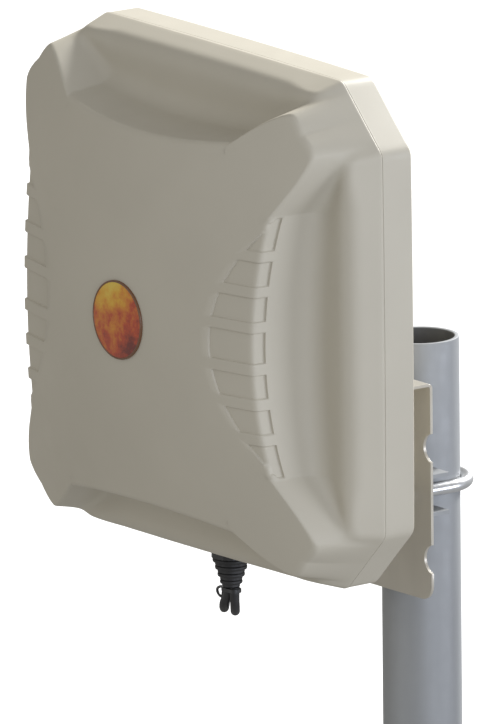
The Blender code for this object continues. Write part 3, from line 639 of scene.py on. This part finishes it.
def column(edge, seam, turn, sink):
    """Points of one mesh line from near the dome's middle to the seam."""
    local = turn.transposed() @ edge
    nearest = local.x - 2.5 * EDGE_ROUND
    pocket_width = local.x - POCKET_INNER - POCKET_BOW * local.y**2
    if abs(local.y) > SCOOP_STRAIGHT:
        start = edge * (nearest / local.x)
    else:
        start = turn @ Vector((min(local.x - pocket_width, nearest), local.y))
    outward = (turn @ Vector((1, 0))).normalized()
    points = []
    for step in range(1, DOME_RINGS + 1):
        place = start * (step / DOME_RINGS)
        points.append(Vector((place.x, dome_depth(place), place.y)))
    across = edge - start
    room = across.length - EDGE_ROUND
    for step in range(POCKET_RINGS + 1):
        share = max(0, step - 1) / (POCKET_RINGS - 1)
        reach = POCKET_DRAFT / 2 + (room - POCKET_DRAFT / 2) * share
        reach = reach if step else 0.02 * MM
        place = start + across.normalized() * reach
        inside = pocket_width - (across.length - reach)
        depth = dome_depth(place) + sink * smooth(inside / POCKET_DRAFT * 2)
        points.append(Vector((place.x, depth, place.y)))
    edge_sink = sink * smooth(pocket_width / EDGE_ROUND)
    ridge = edge - outward * edge_sink
    ridge = Vector((ridge.x, dome_depth(edge) + edge_sink, ridge.y))
    out = (seam - edge).normalized()
    wall = []
    for p, drop in wall_levels(edge, seam):
        inside = min(POCKET_REACH - drop, drop + pocket_width)
        place = edge + out * p.x - outward * sink * smooth(inside / POCKET_DRAFT * 2)
        wall.append(Vector((place.x, p.y, place.y)))
    return points + bezier([points[-1], ridge, wall[0]], EDGE_RINGS) + wall[1:]


def wall_levels(edge, seam):
    """(profile point, drop below the dome's edge) down the side wall, dense where a pocket ends."""
    path = wall_path(edge, seam)
    drops = [0.0]
    for a, b in zip(path, path[1:]):
        drops.append(drops[-1] + (b - a).length)
    floor_end = POCKET_REACH - POCKET_DRAFT / 2
    wanted = [
        EDGE_ROUND + (floor_end - EDGE_ROUND) * i / POCKET_WALL_RINGS for i in range(POCKET_WALL_RINGS)
    ]
    wanted += [floor_end, POCKET_REACH]
    rest = drops[-1] - POCKET_REACH
    wanted += [POCKET_REACH + rest * i / WALL_RINGS for i in range(1, WALL_RINGS + 1)]
    k = 1
    for want in wanted:
        while k < len(path) - 1 and drops[k] < want:
            k += 1
        share = (want - drops[k - 1]) / max(drops[k] - drops[k - 1], 1e-9)
        yield path[k - 1].lerp(path[k], min(1.0, share)), want


def seam_ring(seams, inset, depth):
    """The seam outline, moved inwards, at one depth."""
    ring = []
    for seam in seams:
        place = seam * (1 - inset / max(abs(seam.x), abs(seam.y)))
        ring.append(Vector((place.x, depth, place.y)))
    return ring


def make_radome():
    columns = [column(edge, seam, turn, POCKET_DEPTH * share) for edge, seam, turn, share in lines()]
    rings = [list(ring) for ring in zip(*columns)]
    seams = [seam for _, seam, _, _ in lines()]
    rings[-1] = seam_ring(seams, 0.3 * MM, -0.15 * MM)
    rings += [seam_ring(seams, 0.5 * MM, 0.05 * MM), seam_ring(seams, 6 * MM, 0.05 * MM)]
    mesh = loft("radome_skin", rings)
    bm = bmesh.new()
    bm.from_mesh(mesh)
    rim = {v for v in bm.verts if v.is_boundary and (v.co.xz - HEAD.xz).length < MIDDLE_HOLE}
    apex = bm.verts.new(HEAD + Vector((0, -DOME_HEIGHT, 0)))
    for edge in [edge for edge in bm.edges if edge.is_boundary and rim.issuperset(edge.verts)]:
        bm.faces.new((*edge.verts, apex))
    bmesh.ops.recalc_face_normals(bm, faces=bm.faces)
    bm.to_mesh(mesh)
    bm.free()
    add_piece("radome_skin", mesh, "radome_plastic", "radome_cover", sharp=60)


def recess_places():
    places = []
    for sign in (-1, 1):
        for way in (-1, 1):
            places.append((COVER_SCREW_SIDE * sign, COVER_SCREW_ALONG * way))
            places.append((COVER_SCREW_ALONG * way, COVER_SCREW_SIDE * sign))
    return places


def make_back_cover():
    seams = [seam for _, seam, _, _ in lines()][::2]
    inside = BACK_DEPTH - COVER_WALL
    rings = [seam_ring(seams, 60 * MM, BACK_DEPTH)]
    for step in range(7):
        angle = math.pi / 2 * step / 6
        inset = COVER_ROUND * (1 - math.sin(angle)) + 0.7 * MM
        rings.append(seam_ring(seams, inset, BACK_DEPTH - COVER_ROUND * (1 - math.cos(angle))))
    rings += [seam_ring(seams, 0.45 * MM, 2 * MM), seam_ring(seams, 0.3 * MM, 0.35 * MM)]
    rings += [seam_ring(seams, 0.5 * MM, 0.15 * MM), seam_ring(seams, COVER_WALL, 0.15 * MM)]
    rings += [seam_ring(seams, 3.6 * MM, inside), seam_ring(seams, 60 * MM, inside)]
    shell = loft("back_shell", rings, cap_ends=True)
    tools = []
    for x, z in recess_places():
        tower = prism("tower", 32, 6 * MM, 10 * MM, inside + 1 * MM, HEAD + Vector((x, 0, z)))
        tools.append((tower, "UNION"))
        recess = prism("recess", 32, 4.2 * MM, 11 * MM, 40 * MM, HEAD + Vector((x, 0, z)))
        tools.append((recess, "DIFFERENCE"))
    add_piece("back_shell", applied(shell, tools), "radome_plastic", "back_cover", sharp=40)


def make_badge():
    face_radius = BADGE_RADIUS * 0.95
    ring_lift = BADGE_LIFT - 0.5 * MM

    def point(reach, rise):
        return reach, -DOME_HEIGHT + DOME_CURVE * reach**2 - rise

    face = [point(face_radius * i / 10, BADGE_LIFT - 0.4 * MM) for i in range(11)]
    rim = [point(face_radius, ring_lift)]
    for step in range(7):
        angle = math.pi * step / 6
        reach = BADGE_RADIUS * (0.975 - 0.025 * math.cos(angle))
        rim.append(point(reach, ring_lift + 0.45 * MM * math.sin(angle)))
    rim.append(point(BADGE_RADIUS, -0.3 * MM))
    pieces = (("badge_face", face, "badge_print"), ("badge_ring", rim, "badge_rim"))
    for name, profile, paint in pieces:
        mesh = turned(name, profile, HEAD, "Y", 96)
        add_piece(name, mesh, "badge_print", "round_badge", paint=paint)


# --- Cable exit -------------------------------------------------------------------------------


def make_boot():
    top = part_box("gland_boot")[1][2] - HEAD.z
    fins = 4
    step = (top - BOOT_END) / fins
    profile = [(0, BOOT_END)]
    for fin in range(fins):
        width = BOOT_RADIUS + BOOT_TAPER * fin / (fins - 1)
        neck = width - 1.6 * MM
        low = BOOT_END + step * fin
        profile += [(neck - 0.5 * MM, low), (neck, low + 0.06 * step), (neck, low + 0.38 * step)]
        for turn in range(9):
            angle = math.pi * turn / 8
            level = low + (0.70 - 0.28 * math.cos(angle)) * step
            profile.append((neck + 0.3 * MM + 1.3 * MM * math.sin(angle) ** 0.5, level))
    profile += [(width - 2 * MM, top), (0, top)]
    place = HEAD + Vector((GLAND.x, GLAND.y, 0))
    add_piece("boot", turned("boot", profile, place, "Z", 64), "black_rubber", "gland_boot", sharp=50)


def smooth_route(points, per_span):
    """Points on a Catmull-Rom curve through the route's own points."""
    points = [Vector(p) for p in points]
    ends = [2 * points[0] - points[1], *points, 2 * points[-1] - points[-2]]
    route = []
    for a, b, c, d in zip(ends, ends[1:], ends[2:], ends[3:]):
        for step in range(per_span):
            t = step / per_span
            route.append(
                0.5 * (2 * b + (c - a) * t + (2 * a - 5 * b + 4 * c - d) * t**2
                       + (3 * b - a - 3 * c + d) * t**3)
            )
    return [*route, points[-1]]


def cable_points(number):
    """A tail's own route: down out of the boot, round in a loop and up behind the back cover."""
    x = GLAND.x + (CABLE_PITCH / 2 if number == 0 else -CABLE_PITCH / 2)
    end_x = CONNECTOR_X[number]
    bulge = 0 if number == 0 else -5
    lead = [(x, GLAND.y, BOOT_END - drop * MM) for drop in (0.4, 2.5, 5)]
    shift = [
        (-2 + bulge, 2, -13), (-10 + bulge, 8, -18.5), (-19 + bulge * 0.6, 14.5, -14),
        (-24 + bulge * 0.4, 18.5, -2), (-27 + bulge * 0.3, 20.5, 14), (-36 + bulge * 0.3, 21, 34),
    ]
    turn = [(x + a * MM, GLAND.y + b * MM, BOOT_END + c * MM) for a, b, c in shift]
    rise = [(end_x, CONNECTOR_Y, level * MM) for level in (-140, -132, -125)]
    return [*lead, *turn, *rise, (end_x, CONNECTOR_Y, CONNECTOR_Z - GAP)]


def tube(name, points, radius, slot, node, resolution=6):
    curve = bpy.data.curves.new(name, "CURVE")
    curve.dimensions = "3D"
    curve.bevel_depth = radius
    curve.bevel_resolution = resolution
    curve.use_fill_caps = True
    spline = curve.splines.new("POLY")
    spline.points.add(len(points) - 1)
    for point, co in zip(spline.points, points):
        point.co = (*(HEAD + Vector(co)), 1)
    spline.use_smooth = True
    return add_piece(name, curve, slot, node)


def make_tails():
    for number, letter in enumerate("ab"):
        route = smooth_route(cable_points(number), 6)
        cable = tube(f"tail_{letter}", route, CABLE_RADIUS, "black_rubber", f"cable_{letter}")
        length = sum((b - a).length for a, b in zip(route, route[1:]))


def make_tie_tail():
    start_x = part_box("cable_tie")[0][0] - GAP
    route = smooth_route([(start_x + x * MM, y * MM, z * MM) for x, y, z in TAIL_ROUTE], 8)
    tube("tie_end", route, 0.9 * MM, "black_nylon", "tie_tail")


# --- Bracket and clamp ------------------------------------------------------------------------


def make_u_bolt():
    arc = [(LEG_X, PLATE_FRONT - 2 * MM, CLAMP_Z)]
    for step in range(49):
        angle = math.pi * step / 48
        arc.append((LEG_X * math.cos(angle), STANDOFF + LEG_X * math.sin(angle), CLAMP_Z))
    arc.append((-LEG_X, PLATE_FRONT - 2 * MM, CLAMP_Z))
    tube("u_rod", arc, ROD_RADIUS, "bright_steel", "u_bolt", 8)
    turns = int((PLATE_FRONT - LEG_FRONT) / THREAD_PITCH)
    profile = [(0, LEG_FRONT), (ROD_RADIUS - 1 * MM, LEG_FRONT)]
    for turn in range(turns):
        low = LEG_FRONT + 0.4 * MM + turn * THREAD_PITCH
        crest = (ROD_RADIUS - 0.05 * MM, low + THREAD_PITCH / 2)
        profile += [(ROD_RADIUS - 0.6 * MM, low), crest]
    profile += [(ROD_RADIUS - 0.6 * MM, PLATE_FRONT), (0, PLATE_FRONT)]
    for side, sign in (("left", -1), ("right", 1)):
        place = HEAD + Vector((sign * LEG_X, 0, CLAMP_Z))
        mesh = turned("thread", profile, place, "Y", 32)
        add_piece(f"thread_{side}", mesh, "bright_steel", "u_bolt", sharp=20)


def hex_head(name, radius, low, high, place, bore=None):
    """A hexagon with chamfered faces, along Y from low to high, bored when asked."""
    chamfer = 0.13 * radius
    profile = [(0, low), (radius - chamfer, low), (radius, low + chamfer * 0.6)]
    profile += [(radius, high - chamfer * 0.6), (radius - chamfer, high), (0, high)]
    tools = [(turned("chamfer", profile, place, "Y", 48), "INTERSECT")]
    if bore:
        tools.append((prism("bore", 32, bore, low - 1 * MM, high + 1 * MM, place), "DIFFERENCE"))
    return applied(prism(name, 6, radius, low, high, place), tools)


def make_clamp_nuts():
    for side, sign in (("left", -1), ("right", 1)):
        node = f"clamp_nut_{side}"
        low, high = (corner[1] - SEAM_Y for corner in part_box(node))
        place = HEAD + Vector((sign * LEG_X, 0, CLAMP_Z))
        mesh = hex_head(f"nut_{side}", 7.5 * MM, low, high, place, ROD_RADIUS + 0.15 * MM)
        add_piece(f"nut_{side}", mesh, "bright_steel", node, node)


def make_bracket_bolts():
    for number in range(1, 5):
        node = f"bracket_bolt_{number}"
        low, high = (Vector(corner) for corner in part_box(node))
        place = Vector(((low.x + high.x) / 2, SEAM_Y, (low.z + high.z) / 2))
        back = high.y - SEAM_Y
        flange = [(0, back - 5.5 * MM), (6.6 * MM, back - 5.5 * MM), (7 * MM, back - 5.1 * MM)]
        flange += [(7 * MM, back - 4.6 * MM), (5.4 * MM, back - 4 * MM), (0, back - 4 * MM)]
        mesh = turned("flange", flange, place, "Y", 40)
        add_piece(f"bolt_flange_{number}", mesh, "bright_steel", node)
        head = hex_head("bolt_head", 5.2 * MM, back - 4.2 * MM, back, place)
        add_piece(f"bolt_head_{number}", head, "bright_steel", node)


def make_cover_screws():
    for number in range(1, 9):
        node = f"cover_screw_{number}"
        low, high = (Vector(corner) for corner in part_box(node))
        place = Vector(((low.x + high.x) / 2, SEAM_Y, (low.z + high.z) / 2))
        back = high.y - SEAM_Y
        head = [(0, back - 3 * MM), (3.8 * MM, back - 3 * MM), (3.8 * MM, back - 1.2 * MM)]
        head += [(3.5 * MM, back - 0.5 * MM), (2.9 * MM, back), (0, back)]
        socket = prism("socket", 6, 1.7 * MM, back - 1.8 * MM, back + 1 * MM, place)
        mesh = applied(turned("screw", head, place, "Y", 32), [(socket, "DIFFERENCE")])
        add_piece(f"screw_head_{number}", mesh, "bright_steel", node)


def make_mast():
    low, high = MAST_LOW.z, MAST_HIGH.z
    outer, inner, lip = MAST_HIGH.x, MAST_HIGH.x - MAST_WALL, 0.45 * MM
    profile = [(inner, low + lip), (inner + lip, low), (outer - lip, low), (outer, low + lip)]
    profile += [(outer, high - lip), (outer - lip * 0.3, high - lip * 0.3), (outer - lip, high)]
    profile += [(inner + lip, high), (inner, high - lip)]
    mesh = turned("mast_tube", [*profile, profile[0]], Vector((0, 0, 0)), "Z", 96)
    tube_piece = add_piece("mast_tube", mesh, "galvanised_steel", "mast", "mast", sharp=30)
    # The tube's inner wall faces get the near-black painted-shade steel, so the dark inside of the
    # tube is painted shade, not lit
    tube_piece.data.materials.append(MATERIALS["painted_shade_steel"])
    for face in tube_piece.data.polygons:
        if face.center.xy.length < inner + 0.1 * lip:
            face.material_index = 1


# --- Everything else, stage and light -----------------------------------------------------------


def finish_nodes():
    """The record's material on every CAD node that stays as it is."""
    slots = {entry["node"]: entry["material_slot"] for entry in frame["record"]["subparts"]}
    for name, node in NODES.items():
        for slot in node.material_slots:
            slot.material = MATERIALS[slots[name]]


def make_stage():
    bm = bmesh.new()
    bmesh.ops.create_grid(bm, x_segments=1, y_segments=1, size=8)
    floor = bpy.data.objects.new("floor", mesh_from("floor", bm))
    floor.location.z = MAST_LOW.z - 0.5 * MM
    bpy.context.scene.collection.objects.link(floor)
    paint = Paint("floor", (0.93, 0.93, 0.93), 0.9)
    floor.data.materials.append(paint.material)
    floor.visible_diffuse = False
    floor.visible_glossy = False


def sun(name, toward, strength, spread, color=(1, 1, 1)):
    """A soft light that comes from one side of the studio."""
    data = bpy.data.lights.new(name, "SUN")
    data.energy = strength
    data.angle = math.radians(spread)
    data.color = color
    light = bpy.data.objects.new(name, data)
    light.rotation_euler = Vector(toward).to_track_quat("Z", "Y").to_euler()
    bpy.context.scene.collection.objects.link(light)


def make_light():
    world = bpy.data.worlds.new("studio")
    world.use_nodes = True
    background = world.node_tree.nodes["Background"]
    background.inputs["Color"].default_value = (1.0, 0.985, 0.955, 1)
    background.inputs["Strength"].default_value = 0.38
    bpy.context.scene.world = world
    bpy.context.scene.view_settings.view_transform = "Standard"
    sun("key", (-0.31, 0.81, 0.49), 6.4, 16)
    sun("side", (0.96, -0.12, 0.02), 1.6, 40, (0.9, 0.97, 1.13))
    sun("edge", (0.76, 0.64, 0.03), 1.45, 20, (0.92, 0.97, 1.1))
    sun("fill", (-0.25, -0.95, 0.12), 0.5, 60)


make_camera()
make_tails()
make_radome()
make_back_cover()
make_badge()
make_boot()
make_tie_tail()
make_u_bolt()
make_clamp_nuts()
make_bracket_bolts()
make_cover_screws()
make_mast()
softened("bracket", "stainless_sheet", 0.25 * MM)
softened("saddle_clamp", "galvanised_steel", 0.3 * MM)
softened("cable_tie", "black_nylon", 0.3 * MM)
softened("cable_clip", "black_nylon", 0.8 * MM)
finish_nodes()
make_stage()
make_light()
